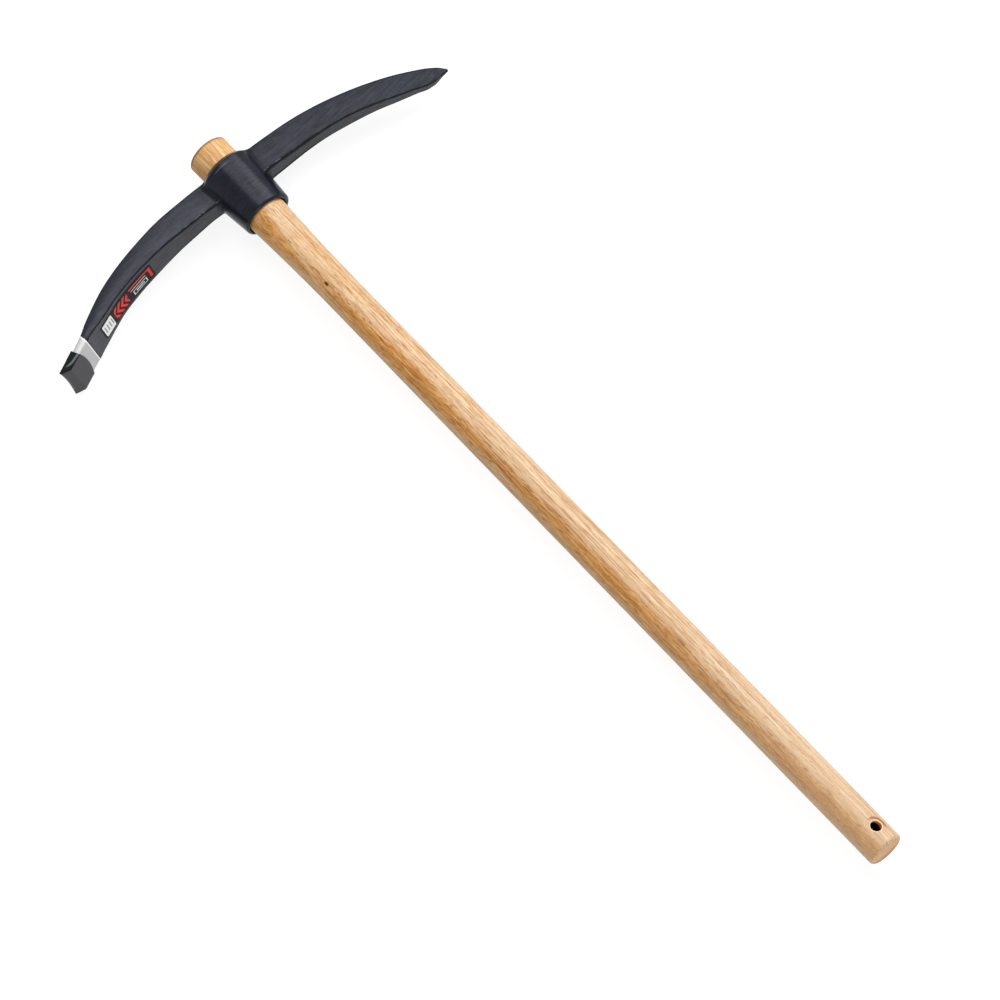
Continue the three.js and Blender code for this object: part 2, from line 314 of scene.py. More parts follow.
class ShaderTree:
    """The node tree of a material or a world, emptied and then filled by these methods."""

    def __init__(self, owner):
        owner.use_nodes = True
        self.nodes = owner.node_tree.nodes
        self.links = owner.node_tree.links
        self.nodes.clear()

    def put(self, socket, value):
        """Links a socket to a node or a number socket, or writes a plain value into it."""
        if isinstance(value, Node):
            value = value.out()
        if isinstance(value, Maths):
            self.links.new(value.socket, socket)
        elif value is not None:
            if hasattr(socket.default_value, "__len__") and not hasattr(value, "__len__"):
                value = (value,) * len(socket.default_value)
            socket.default_value = value

    def node(self, kind, settings=None, *values, **named):
        """A node of a kind: settings first, then values or links in socket order or by name."""
        node = self.nodes.new(kind)
        for key, value in (settings or {}).items():
            if key == "stops":
                ramp = node.color_ramp
                while len(ramp.elements) < len(value):
                    ramp.elements.new(0.5)
                for element, (place, colour) in zip(ramp.elements, value):
                    element.position = place
                    element.color = colour
            else:
                setattr(node, key, value)
        sockets = [socket for socket in node.inputs if socket.enabled]
        for socket, value in zip(sockets, values):
            self.put(socket, value)
        for key, value in named.items():
            self.put(node.inputs[key.replace("_", " ")], value)
        return Node(self, node)

    def place(self, scale=(1.0, 1.0, 1.0), shift=(0.0, 0.0, 0.0)):
        """Object coordinates in millimetres, moved and then stretched."""
        coordinates = self.node("ShaderNodeTexCoord").out("Object")
        scale, unturned = tuple(1000.0 * value for value in scale), (0.0, 0.0, 0.0)
        return self.node("ShaderNodeMapping", None, coordinates, shift, unturned, scale).out()

    def axes(self, where):
        """The three coordinates of a place."""
        split = self.node("ShaderNodeSeparateXYZ", None, where)
        return split.out("X"), split.out("Y"), split.out("Z")

    def vector_maths(self, operation, *values, output="Vector"):
        return self.node("ShaderNodeVectorMath", {"operation": operation}, *values).out(output)

    def noise(self, where, detail=3.0, roughness=0.5):
        named = {"Scale": 1.0, "Detail": detail, "Roughness": roughness}
        return self.node("ShaderNodeTexNoise", None, where, **named).out("Fac")

    def mark(self, name):
        return self.node("ShaderNodeAttribute", {"attribute_name": name}).out("Fac")

    def mix(self, share, first, second, blend="MIX"):
        node = self.nodes.new("ShaderNodeMix")
        node.data_type = "RGBA"
        node.blend_type = blend
        for index, value in ((0, share), (6, first), (7, second)):
            self.put(node.inputs[index], value)
        return Maths(self, node.outputs[2])

    def ramp(self, value, stops):
        return self.node("ShaderNodeValToRGB", {"stops": stops}, value).out("Color")

    def bump(self, height, strength, distance):
        """A bumped normal, with the distance in millimetres."""
        named = {"Strength": strength, "Distance": distance * MM, "Height": height}
        return self.node("ShaderNodeBump", None, **named).out("Normal")

    def seen(self):
        """1 on rays that see the studio: from the camera, in reflections and through glass."""
        path = self.node("ShaderNodeLightPath")
        through = path.out("Is Glossy Ray").using("MAXIMUM", path.out("Is Transmission Ray"))
        return path.out("Is Camera Ray").using("MAXIMUM", through)


class Finish(ShaderTree):
    """One material, with the shader at the end of its node tree."""

    def __init__(self, name):
        self.material = bpy.data.materials.new(name)
        super().__init__(self.material)
        self.shader = self.node("ShaderNodeBsdfPrincipled")
        self.node("ShaderNodeOutputMaterial", None, self.shader)

    def set(self, **values):
        """Fills the shader's sockets by name and gives the material."""
        for key, value in values.items():
            self.put(self.shader.node.inputs[key.replace("_", " ")], value)
        return self.material


def tint(red, green, blue):
    """A colour written as it looks on the screen, as the shader needs it."""
    def linear(value):
        value /= 255.0
        return value / 12.92 if value <= 0.04045 else ((value + 0.055) / 1.055) ** 2.4
    return (linear(red), linear(green), linear(blue), 1.0)


# Forms


def smooth_through(places, values, at):
    """A smooth curve through values at uneven places."""
    places, values = np.asarray(places, float), np.asarray(values, float)
    slopes = np.gradient(values, places)
    index = np.clip(np.searchsorted(places, at) - 1, 0, len(places) - 2)
    width = places[index + 1] - places[index]
    t = (at - places[index]) / width
    return (
        (2 * t ** 3 - 3 * t ** 2 + 1) * values[index]
        + (t ** 3 - 2 * t ** 2 + t) * width * slopes[index]
        + (3 * t ** 2 - 2 * t ** 3) * values[index + 1]
        + (t ** 3 - t ** 2) * width * slopes[index + 1]
    )


def rounded_both(first, second, radius):
    """Inside both of two distances, with the outer corner rounded."""
    corner = np.hypot(np.maximum(radius + first, 0), np.maximum(radius + second, 0))
    return np.minimum(-radius, np.maximum(first, second)) + corner


def filleted_either(first, second, radius):
    """Inside either of two distances, with the inner corner filleted."""
    corner = np.hypot(np.maximum(radius - first, 0), np.maximum(radius - second, 0))
    return np.maximum(radius, np.minimum(first, second)) - corner


def bevelled_both(first, second, size):
    """Inside both of two distances, with a flat cut across the outer corner."""
    cut = (first + second + size) / math.sqrt(2)
    return rounded_both(np.maximum(first, cut), np.maximum(second, cut), BEVEL_ROUNDING)


class Arm:
    """One arm of the head: a bar that follows its outer edge, drawn with its reach along +Y."""

    def __init__(self, shares, reach, sag, depth, width, bit=False):
        rows = np.array(shares)
        y = np.linspace(rows[0, 0], rows[-1, 0], ARM_ROWS)
        x = EYE_TOP + sag * smooth_through(rows[:, 0], rows[:, 1], y)
        depths = depth * smooth_through(rows[:, 0], rows[:, 2], y)
        halves = width / 2 * smooth_through(rows[:, 0], rows[:, 3], y)
        y = y * reach
        if bit:
            along = np.linspace(0, BIT_LENGTH, BIT_ROWS)[1:]
            self.start_thickness = depths[-1]
            x = np.append(x, x[-1] + along * math.sin(BIT_ANGLE))
            y = np.append(y, y[-1] + along * math.cos(BIT_ANGLE))
            stops = [0, BIT_LENGTH - BIT_BEVEL_LENGTH, BIT_LENGTH]
            sizes = [depths[-1], BIT_BEVEL_THICKNESS, BIT_EDGE_THICKNESS]
            depths = np.append(depths, np.interp(along, stops, sizes))
            ends = [width / 2, BIT_EDGE_WIDTH / 2]
            halves = np.append(halves, np.interp(along, [0, BIT_LENGTH], ends))
        self.s = np.append(0, np.cumsum(np.hypot(np.diff(x), np.diff(y))))
        self.bit_start = self.s[-1] - BIT_LENGTH
        self.table = {"x": x, "y": y, "depth": depths, "half": halves}
        self.table["along_x"] = np.gradient(x, self.s)
        self.table["along_y"] = np.gradient(y, self.s)

    def at(self, name, s):
        """A size or place of the arm at a distance s along its outer edge."""
        return np.interp(s, self.s, self.table[name])

    def past(self, x, y, s):
        """How far a point lies past the outer edge's place at s, and inward from it."""
        along_x, along_y = self.at("along_x", s), self.at("along_y", s)
        gap_x, gap_y = x - self.at("x", s), y - self.at("y", s)
        return gap_x * along_x + gap_y * along_y, gap_x * along_y - gap_y * along_x

    def local(self, x, y):
        """Distance along the arm and distance inward from its outer edge."""
        s = np.interp(y, self.table["y"], self.s)
        for _ in range(FOLLOWING_ROUNDS):
            s = np.clip(s + self.past(x, y, s)[0], 0, self.s[-1])
        beyond, inward = self.past(x, y, s)
        return s + beyond, inward

    def distance(self, x, y, z):
        """Signed distance to the bar's surface, below zero inside."""
        s, inward = self.local(x, y)
        depth, half = self.at("depth", s), self.at("half", s)
        across = np.abs(inward - depth / 2)
        crown = SIDE_CROWN_SHARE * half * (1 - np.minimum(2 * across / depth, 1) ** 2)
        limit = CORNER_ROUNDING_LIMIT * np.minimum(half, depth / 2)
        rounding = np.minimum(CORNER_ROUNDING_SHARE * depth, limit)
        section = rounded_both(across - depth / 2, np.abs(z) - half - crown, rounding)
        return np.maximum(np.maximum(section, s - self.s[-1]), -s)

    def from_ridges(self, x, y, z):
        """Distances across the concave and the outer ridge, above zero on the side face."""
        s, inward = self.local(x, y)
        depth, half = self.at("depth", s), self.at("half", s)
        from_side = np.maximum(half - np.abs(z), 0)
        concave = inward > depth / 2
        ridge = np.where(concave, depth - inward - from_side, FAR_AWAY)
        return ridge, np.where(concave, FAR_AWAY, inward - from_side)

    def concave_point(self, reach):
        """Point and outward direction on the concave face at a reach from the eye's axis."""
        inner_y = self.table["y"] - self.table["along_x"] * self.table["depth"]
        s = np.interp(reach, inner_y, self.s)
        depth = self.at("depth", s)
        out_x, out_y = self.at("along_y", s), -self.at("along_x", s)
        return self.at("x", s) + out_x * depth, self.at("y", s) + out_y * depth, out_x, out_y


chisel_arm = Arm(CHISEL_SHARES, CHISEL_REACH, CHISEL_SAG, CHISEL_DEPTH, CHISEL_WIDTH, bit=True)
point_arm = Arm(POINT_SHARES, POINT_REACH, POINT_SAG, POINT_DEPTH, POINT_WIDTH)


def seat_radius(x):
    """The handle's radius in the eye."""
    return CROWN_RADIUS + (SEAT_END_RADIUS - CROWN_RADIUS) * x / EYE_BOTTOM


def eye_distance(x, y, z):
    """The outside of the eye: a cone with a rounded shoulder, wider on the point side."""
    share = (x - EYE_TOP) / (EYE_BOTTOM - EYE_TOP)
    stretch = 1 + EYE_TOP_STRETCH + share * (EYE_BOTTOM_STRETCH - EYE_TOP_STRETCH)
    radius = EYE_TOP_RADIUS + share * (EYE_BOTTOM_RADIUS - EYE_TOP_RADIUS)
    side = np.hypot(np.where(y > 0, y / stretch, y), z) - radius
    top = bevelled_both(side, EYE_TOP - x, EYE_SHOULDER)
    return bevelled_both(top, x - EYE_BOTTOM, EYE_BOTTOM_BEVEL)


def forging_distance(x, y, z):
    """Eye and both arms as one forging, filleted at the roots and bored for the handle."""
    arms = np.minimum(point_arm.distance(x, y, z), chisel_arm.distance(x, -y, z))
    whole = filleted_either(eye_distance(x, y, z), arms, ROOT_FILLET)
    flare = BORE_FLARE * np.clip((x - EYE_BOTTOM) / BORE_FLARE_LENGTH + 1, 0, 1) ** 2
    bore = seat_radius(x) + BORE_FIT + flare - np.hypot(y, z)
    return rounded_both(whole, bore, EYE_MOUTH_ROUNDING)


def mark_forging(piece):
    """Writes where the ridges and the creases of the forging run, for its paint and the light and
    shade painted on it.
    """
    count = len(piece.data.vertices)
    places = np.empty(3 * count, np.float32)
    piece.data.vertices.foreach_get("co", places)
    x, y, z = places.reshape(-1, 3).astype(float).T / MM
    point, chisel = point_arm.from_ridges(x, y, z), chisel_arm.from_ridges(x, -y, z)
    arms = np.minimum(point_arm.distance(x, y, z), chisel_arm.distance(x, -y, z))
    crease = np.clip(1 - np.hypot(eye_distance(x, y, z), arms) / CREASE_REACH, 0, 1)
    marks = {
        "ridge": np.where(y > 0, point[0], chisel[0]),
        "outer_ridge": np.where(y > 0, point[1], chisel[1]),
        "crease": crease,
        "on_arm": np.clip(eye_distance(x, y, z) / EYE_REACH, 0, 1),
    }
    for name, values in marks.items():
        mark = piece.data.attributes.new(name, "FLOAT", "POINT")
        mark.data.foreach_set("value", values.astype(np.float32))


def past_paint(x, y):
    """How far a point lies past the end of the paint on the chisel arm."""
    s, inward = chisel_arm.local(x, -y)
    along = s - chisel_arm.bit_start
    share = inward / chisel_arm.start_thickness
    return along - (PAINT_END_OUTER + share * (PAINT_END_CONCAVE - PAINT_END_OUTER))


def painted_distance(x, y, z):
    """The forging with its paint, which ends at the start of the bit."""
    beyond = np.where(y < -CHISEL_REACH * 0.8, past_paint(x, y), -FAR_AWAY)
    painted = forging_distance(x, y, z) - PAINT_THICKNESS
    return rounded_both(painted, beyond, PAINT_END_ROUNDING)


def bright_distance(x, y, z):
    """The bare end of the chisel arm, from a little under the paint to the edge."""
    return np.maximum(chisel_arm.distance(x, -y, z), -past_paint(x, y) - BRIGHT_UNDER_PAINT)


def bit_place(x, y):
    """Distance along the bit and distance in from its outer face, of arrays or of sockets."""
    gap_x, gap_y = x - (EYE_TOP + CHISEL_SAG), y + CHISEL_REACH
    sine, cosine = math.sin(BIT_ANGLE), math.cos(BIT_ANGLE)
    return gap_x * sine - gap_y * cosine, gap_x * cosine + gap_y * sine


def guard_distance(x, y, z):
    """The slip-on guard: a flat sleeve closed at the edge, with a bowed mouth and a flared end."""
    s, inward = bit_place(x, y)
    grow = GUARD_FIT + GUARD_WALL
    base = CHISEL_WIDTH / 2 + grow
    stops = [0, GUARD_BEND, GUARD_END]
    half = np.interp(s, stops, [base, base + GUARD_BEND_FLARE, base + GUARD_END_FLARE])
    thickness = [chisel_arm.start_thickness + grow, BIT_BEVEL_THICKNESS + grow, GUARD_LIP]
    top = np.interp(s, stops, thickness)
    bow = np.clip(1 - (z / base) ** 2, GUARD_BOW_LEAST, 1)
    faces = np.maximum(-grow - inward, inward - top)
    walls = rounded_both(faces, np.abs(z) - half, GUARD_EDGE_ROUNDING)
    mouth = GUARD_MOUTH - GUARD_MOUTH_BULGE * bow - s
    ends = np.maximum(mouth, s - GUARD_END + GUARD_END_HOLLOW * bow)
    outside = rounded_both(walls, ends, GUARD_END_ROUNDING)
    hollow = GUARD_FIT - chisel_arm.distance(x, -y, z)
    return np.maximum(outside, np.where(s < 0, -FAR_AWAY, hollow))


def skin(name, distance, low, high, cell):
    """The surface where a distance is zero, as one closed mesh of even quads."""
    low, high = np.array(low, float), np.array(high, float)
    counts = np.ceil((high - low) / cell).astype(int) + 1
    lines = [start + cell * np.arange(count) for start, count in zip(low, counts)]
    value = distance(*np.meshgrid(*lines, indexing="ij"))
    cells = tuple(counts - 1)

    # Each cell that the surface crosses gets one point, the mean of the crossings on its edges
    total, number = np.zeros(cells + (3,)), np.zeros(cells)
    crossings = []
    for axis in range(3):
        u, v = (axis + 1) % 3, (axis + 2) % 3
        turned = np.transpose(value, (axis, u, v))
        first, second = turned[:-1], turned[1:]
        crossed = (first < 0) != (second < 0)
        share = np.where(crossed, first / np.where(crossed, first - second, 1), 0)
        crossings.append((crossed, first < 0))
        turned_total = np.transpose(total, (axis, u, v, 3))
        turned_number = np.transpose(number, (axis, u, v))
        for du in (0, 1):
            for dv in (0, 1):
                span = (slice(None), slice(du, du + cells[u]), slice(dv, dv + cells[v]))
                here = crossed[span]
                turned_number += here
                turned_total[..., axis] += share[span]
                turned_total[..., u] += du * here
                turned_total[..., v] += dv * here
    used = number > 0
    label = np.full(cells, -1)
    label[used] = np.arange(used.sum())
    points = low + cell * (np.argwhere(used) + total[used] / number[used][:, None])

    # Each crossed edge of the grid gets one quad between the four cells around it
    quads = []
    for axis, (crossed, inside) in enumerate(crossings):
        turned = np.transpose(label, (axis, (axis + 1) % 3, (axis + 2) % 3))
        i, j, k = np.nonzero(crossed[:, 1:-1, 1:-1])
        corners = (j, k), (j + 1, k), (j + 1, k + 1), (j, k + 1)
        ring = np.stack([turned[i, u, v] for u, v in corners], 1)
        flip = ~inside[i, j + 1, k + 1]
        ring[flip] = ring[flip][:, ::-1]
        quads.append(ring)
    quads = np.concatenate(quads)
    for _ in range(SETTLING_ROUNDS):
        points = settle(points, distance, cell)
    mesh = bpy.data.meshes.new(name)
    mesh.from_pydata((points * MM).tolist(), [], quads.tolist())
    return shown(name, mesh)


def settle(points, distance, cell):
    """Moves points onto the surface, by at most a third of a cell."""
    reach, least_slope = 0.05, 0.2
    here = distance(*points.T)
    slope = np.stack([
        (distance(*(points + step).T) - distance(*(points - step).T)) / (2 * reach)
        for step in reach * np.eye(3)
    ], 1)
    size = np.maximum((slope ** 2).sum(1), least_slope)
    move = -(here / size)[:, None] * slope
    length = np.linalg.norm(move, axis=1, keepdims=True)
    return points + move * np.minimum(1, cell / 3 / np.maximum(length, 1e-9))


def shown(name, mesh):
    """A mesh as a smooth-shaded object in the scene."""
    mesh.validate()
    mesh.shade_smooth()
    piece = bpy.data.objects.new(name, mesh)
    bpy.context.scene.collection.objects.link(piece)
    return piece


# The turned handle, by Geometry Nodes


def turning_tree():
    """Turns a line of points, each with a radius, into a round closed body of one material."""
    tree = bpy.data.node_groups.new("turned body", "GeometryNodeTree")
    tree.interface.new_socket("Geometry", in_out="INPUT", socket_type="NodeSocketGeometry")
    tree.interface.new_socket("Sides", in_out="INPUT", socket_type="NodeSocketInt")
    tree.interface.new_socket("Material", in_out="INPUT", socket_type="NodeSocketMaterial")
    tree.interface.new_socket("Geometry", in_out="OUTPUT", socket_type="NodeSocketGeometry")
    nodes, link = tree.nodes, tree.links.new
    given = nodes.new("NodeGroupInput")
    line = nodes.new("GeometryNodeMeshToCurve")
    radius = nodes.new("GeometryNodeInputNamedAttribute")
    radius.data_type = "FLOAT"
    radius.inputs["Name"].default_value = "radius"
    circle = nodes.new("GeometryNodeCurvePrimitiveCircle")
    circle.inputs["Radius"].default_value = 1.0
    body = nodes.new("GeometryNodeCurveToMesh")
    body.inputs["Fill Caps"].default_value = True
    real = nodes.new("GeometryNodeRealizeInstances")
    coloured = nodes.new("GeometryNodeSetMaterial")
    result = nodes.new("NodeGroupOutput")
    link(given.outputs["Geometry"], line.inputs["Mesh"])
    link(given.outputs["Sides"], circle.inputs["Resolution"])
    link(line.outputs["Curve"], body.inputs["Curve"])
    link(circle.outputs["Curve"], body.inputs["Profile Curve"])
    link(radius.outputs["Attribute"], body.inputs["Scale"])
    link(body.outputs["Mesh"], real.inputs["Geometry"])
    link(real.outputs["Geometry"], coloured.inputs["Geometry"])
    link(given.outputs["Material"], coloured.inputs["Material"])
    link(coloured.outputs["Geometry"], result.inputs["Geometry"])
    return tree


def turned_body(name, tree, stops, centre, axis, sides, material):
    """A plain mesh turned round an axis, from stops of place and radius in millimetres."""
    mesh = bpy.data.meshes.new(name)
    points = [tuple(MM * (c + a * place) for c, a in zip(centre, axis)) for place, _ in stops]
    edges = [(index, index + 1) for index in range(len(points) - 1)]
    mesh.from_pydata(points, edges, [])
    radius = mesh.attributes.new("radius", "FLOAT", "POINT")
    radius.data.foreach_set("value", [MM * value for _, value in stops])
    line = bpy.data.objects.new(name, mesh)
    bpy.context.scene.collection.objects.link(line)
    turning = line.modifiers.new("turning", "NODES")
    turning.node_group = tree
    inputs = [item for item in tree.interface.items_tree if item.in_out == "INPUT"]
    names = {item.name: item.identifier for item in inputs}
    turning[names["Sides"]] = sides
    turning[names["Material"]] = material
    view = bpy.context.evaluated_depsgraph_get()
    result = bpy.data.meshes.new_from_object(line.evaluated_get(view))
    bpy.data.objects.remove(line)
    result.name = name
    return shown(name, result)


def quarter_turn(steps):
    """Angles from nothing to a quarter turn."""
    return [math.pi / 2 * step / steps for step in range(steps + 1)]


def handle_profile():
    """Stops along the handle and its radius at each."""
    stops = []
    for angle in quarter_turn(CROWN_STEPS):
        x = CROWN_ROUNDING * (1 - math.sin(angle))
        stops.append((x, CROWN_RADIUS - CROWN_ROUNDING * (1 - math.cos(angle))))
    stops.sort()
    stops += [(x, seat_radius(x)) for x in np.arange(SEAT_SPACING, EYE_BOTTOM, SEAT_SPACING)]
    for step in range(THROAT_STEPS + 1):
        share = step / THROAT_STEPS
        left = (1 - share) ** 2
        radius = left * SEAT_END_RADIUS + (1 - left) * SHAFT_RADIUS
        stops.append((EYE_BOTTOM + THROAT_LENGTH * share, radius))
    start, end = EYE_BOTTOM + THROAT_LENGTH, HANDLE_LENGTH - BUTT_ROUNDING_ALONG
    near_hole = HOLE_PLACE - HOLE_REACH
    coarse = np.arange(start + SHAFT_SPACING, near_hole - 1, SHAFT_SPACING)
    fine = np.arange(near_hole, end - 0.4, HOLE_SPACING)
    for x in np.append(coarse, fine):
        share = (x - start) / (end - start)
        stops.append((x, SHAFT_RADIUS + 4 * SHAFT_SWELL * share * (1 - share)))
    for angle in quarter_turn(BUTT_STEPS):
        inward = BUTT_ROUNDING_ACROSS * (1 - math.cos(angle))
        stops.append((end + BUTT_ROUNDING_ALONG * math.sin(angle), SHAFT_RADIUS - inward))
    return stops


def drill_profile():
    """Stops along the drill and its radius at each: narrow inside, wider at both mouths."""
    reach, widest = SHAFT_RADIUS + DRILL_PAST_SHAFT, HOLE_MOUTH_RADIUS + DRILL_PAST_MOUTH
    mouth = HOLE_MOUTH_RADIUS + DRILL_WIDENING
    stops = [(-reach, widest), (reach, widest)]
    for step in range(MOUTH_STEPS + 1):
        share = step / MOUTH_STEPS
        depth = SHAFT_RADIUS + DRILL_LIFT - HOLE_MOUTH_DEPTH * DRILL_DEPTH_SHARE * (1 - share)
        radius = HOLE_RADIUS + (mouth - HOLE_RADIUS) * share ** DRILL_CURVE
        stops += [(-depth, radius), (depth, radius)]
    return sorted(stops)


def make_handle(material):
    """The turned handle with its hanging hole cut."""
    tree = turning_tree()
    handle = turned_body(
        "wooden_handle", tree, handle_profile(), (0, 0, 0), (1, 0, 0), HANDLE_SIDES, material
    )
    slant = (0.0, math.sin(HOLE_TURN), math.cos(HOLE_TURN))
    drill = turned_body(
        "drill", tree, drill_profile(), (HOLE_PLACE, 0, 0), slant, DRILL_SIDES, material
    )
    cut = handle.modifiers.new("hanging hole", "BOOLEAN")
    cut.operation = "DIFFERENCE"
    cut.solver = "EXACT"
    cut.object = drill
    view = bpy.context.evaluated_depsgraph_get()
    result = bpy.data.meshes.new_from_object(handle.evaluated_get(view))
    handle.modifiers.clear()
    handle.data = result
    bpy.data.objects.remove(drill)
    bpy.data.node_groups.remove(tree)
    handle.data.shade_smooth()
    handle.data.set_sharp_from_angle(angle=SHARP_ON_WOOD)
    return handle


def make_label(material):
    """A printed sticker that follows the concave face of the chisel arm, with rounded corners."""
    shares = 0.5 - 0.5 * np.cos(np.linspace(0, math.pi, LABEL_ROWS))
    vertices, faces, print_place = [], [], []
    for share in shares:
        reach = LABEL_START + share * (LABEL_END - LABEL_START)
        x, y, out_x, out_y = chisel_arm.concave_point(reach)
        from_end = min(reach - LABEL_START, LABEL_END - reach)
        cut = 0.0
        if from_end < LABEL_CORNER:
            from_round = LABEL_CORNER - from_end
            cut = LABEL_CORNER - math.sqrt(max(LABEL_CORNER ** 2 - from_round ** 2, 0))
        for lift in (PAINT_THICKNESS + LABEL_LIFT, PAINT_THICKNESS + LABEL_THICKNESS):
            for z in (LABEL_NEAR_SIDE - cut, LABEL_FAR_SIDE + cut):
                vertices.append((MM * (x + out_x * lift), -MM * (y + out_y * lift), MM * z))
                print_place.append((reach - LABEL_START, z - LABEL_FAR_SIDE))
    for index in range(LABEL_ROWS - 1):
        a, b = 4 * index, 4 * index + 4
        for first, second in ((0, 1), (1, 3), (3, 2), (2, 0)):
            faces.append((a + first, b + first, b + second, a + second))
    faces.append((0, 1, 3, 2))
    last = 4 * (LABEL_ROWS - 1)
    faces.append((last, last + 2, last + 3, last + 1))
    mesh = bpy.data.meshes.new("label_sticker")
    mesh.from_pydata(vertices, [], faces)
    places = mesh.uv_layers.new(name="print")
    for loop in mesh.loops:
        places.data[loop.index].uv = print_place[loop.vertex_index]
    label = shown("label_sticker", mesh)
    label.data.set_sharp_from_angle(angle=SHARP_ON_LABEL)
    label.data.materials.append(material)
    return label


# Finishes


def ash_figure(f, x, y, z, crown):
    """Growth rings cut lengthwise, long fibres and short dark pores, and painted light on the
    throat's lower side.
    """
    wander = f.noise(f.place((0.006, 0.02, 0.02)), 2.0) - 0.5
    ripple = f.noise(f.place((0.015, 0.1, 0.1)), 1.0) - 0.5
    rising = x.step(640.0, 780.0) - (1 - x.step(90.0, 240.0)) * 0.5
    depth = z * RING_COSINE - y * RING_SINE + wander * 3.2 + ripple * 0.7 + rising
    across = y * RING_COSINE + z * RING_SINE + wander * 9.0
    cycle = ((depth - RING_START) / RING_WIDTH + 1.0).using("FRACT")
    early = cycle.step(-0.02, 0.17) * (1 - cycle.step(0.44, 0.62))
    early = early * (depth.step(11.5, 13.6) * 0.7 + 0.3)
    row = cycle.step(0.90, 0.97) + (1 - cycle.step(0.06, 0.14))

    def fibre(along, deep, wide, detail, shift=0.0, slant=0.0):
        aside = (across + x * slant) * wide
        where = f.node("ShaderNodeCombineXYZ", None, x * along + shift, depth * deep, aside)
        return f.noise(where.out(), detail, 0.6)

    streaks = fibre(0.022, 0.7, 0.5, 3.0, 0.0, 0.02)
    fine = fibre(0.025, 1.5, 1.25, 2.0, 7.0, 0.008)
    lines = fibre(0.012, 2.2, 1.0, 2.0, 3.0)
    hair = fibre(0.05, 2.6, 2.4, 2.0, 5.0)
    quarter = 1 - (depth / 14.0).using("ABSOLUTE").step(0.55, 0.95)
    grain = (streaks - 0.5) * 0.45 + (fine - 0.5) * 0.55 + (hair - 0.5) * 1.6
    grain = grain + (lines - 0.5) * (quarter * 1.5 + 1.0)
    calm = 1 - x.step(560.0, 760.0) * 0.3 - crown * 0.4
    # Painted light: the lower side of the throat, which falls in shade, is made paler
    throat = (1 - x.step(120.0, 420.0)) * depth.step(6.0, 11.0) * (1 - crown)
    tone = grain * calm + throat * 0.1 + 0.46
    pale = f.ramp(tone, [
        (0.10, tint(180, 126, 68)),
        (0.36, tint(219, 182, 139)),
        (0.58, tint(230, 203, 169)),
        (0.90, tint(241, 221, 193)),
    ])
    brown = f.ramp(tone, [
        (0.10, tint(140, 78, 22)),
        (0.36, tint(213, 147, 72)),
        (0.60, tint(232, 168, 92)),
        (0.90, tint(244, 200, 136)),
    ])
    under = depth.step(11.5, 15.0) * 0.65
    body = f.mix(early.using("MAXIMUM", under) * (0.95 - crown * 0.7), pale, brown)

    dashes = fibre(0.11, 1.35, 1.1, 2.0, 11.0, -0.012)
    specks = fibre(0.22, 1.3, 1.05, 1.0, 17.0, 0.01).step(0.57, 0.66)
    pored = ((row * 0.9 + early * 0.5 + 0.32) * (1 - crown * 0.5)).using("MINIMUM", 1.0)
    pores = dashes.step(0.57, 0.63).using("MAXIMUM", specks * 0.9) * pored
    glints = (1 - dashes.step(0.30, 0.38)) * 0.5

    # A pale flame runs slantwise down the throat
    from_flame = (y + (x - 80.0) * 0.18 - 3.4 + (streaks - 0.5) * 3.0).using("ABSOLUTE")
    flame = (1 - from_flame.step(0.8, 3.2)) * z.step(0.0, 2.0)
    flame = flame * x.step(76.0, 92.0) * (1 - x.step(136.0, 176.0))
    flamed = f.mix(flame * 0.6, body, tint(238, 206, 162))
    pored_body = f.mix(pores * 0.85, flamed, tint(166, 98, 48))
    return f.mix(glints, pored_body, tint(252, 226, 188)), streaks, fine, pores, row


def toned_along(f, wood, x, crown, streaks):
    """Golden near the head, pinker towards the butt and warmest at the crown."""
    honey = f.noise(f.place((0.011, 0.05, 0.05), (0.4, 0.0, 0.0)))
    honeyed = honey.step(0.35, 0.7) * (1 - x.step(120, 420))
    golden = f.mix(honeyed * 0.35, wood, tint(250, 226, 178), "MULTIPLY")
    pinker = f.mix(x.step(460, 800) * 0.34, golden, tint(236, 206, 175))
    warmed = f.mix(crown * 0.85, pinker, tint(255, 234, 196), "MULTIPLY")
    return f.mix(crown * streaks.step(0.5, 0.64) * 0.6, warmed, tint(253, 226, 180))


def marked_head_end(f, wood, x):
    """The crown's edge burnt by the lathe, warm seams at the eye's rims, and the knot."""
    burnt_noise = f.noise(f.place((0.5, 0.25, 0.25)))
    burnt = (1 - (x - burnt_noise * 2.6).step(0.3, 1.7)) * 0.7
    crowned = f.mix(burnt, wood, tint(134, 78, 40))
    seam_top = x.step(EYE_TOP - 1.5, EYE_TOP - 0.5) * (1 - x.step(EYE_TOP + 0.2, EYE_TOP + 1.2))
    seam_bottom = x.step(EYE_BOTTOM - 0.4, EYE_BOTTOM)
    seam_bottom = seam_bottom * (1 - x.step(EYE_BOTTOM + 0.4, EYE_BOTTOM + 1.4))
    seamed = f.mix(seam_top * 0.75 + seam_bottom * 0.6, crowned, tint(246, 158, 74))
    off_knot = f.vector_maths("SUBTRACT", f.place(), KNOT_PLACE)
    stretched = f.vector_maths("MULTIPLY", off_knot, (0.45, 1.0, 1.0))
    from_knot = f.vector_maths("LENGTH", stretched, output="Value")
    return f.mix((1 - from_knot.step(0.7, 1.5)) * 0.95, seamed, tint(84, 40, 24))


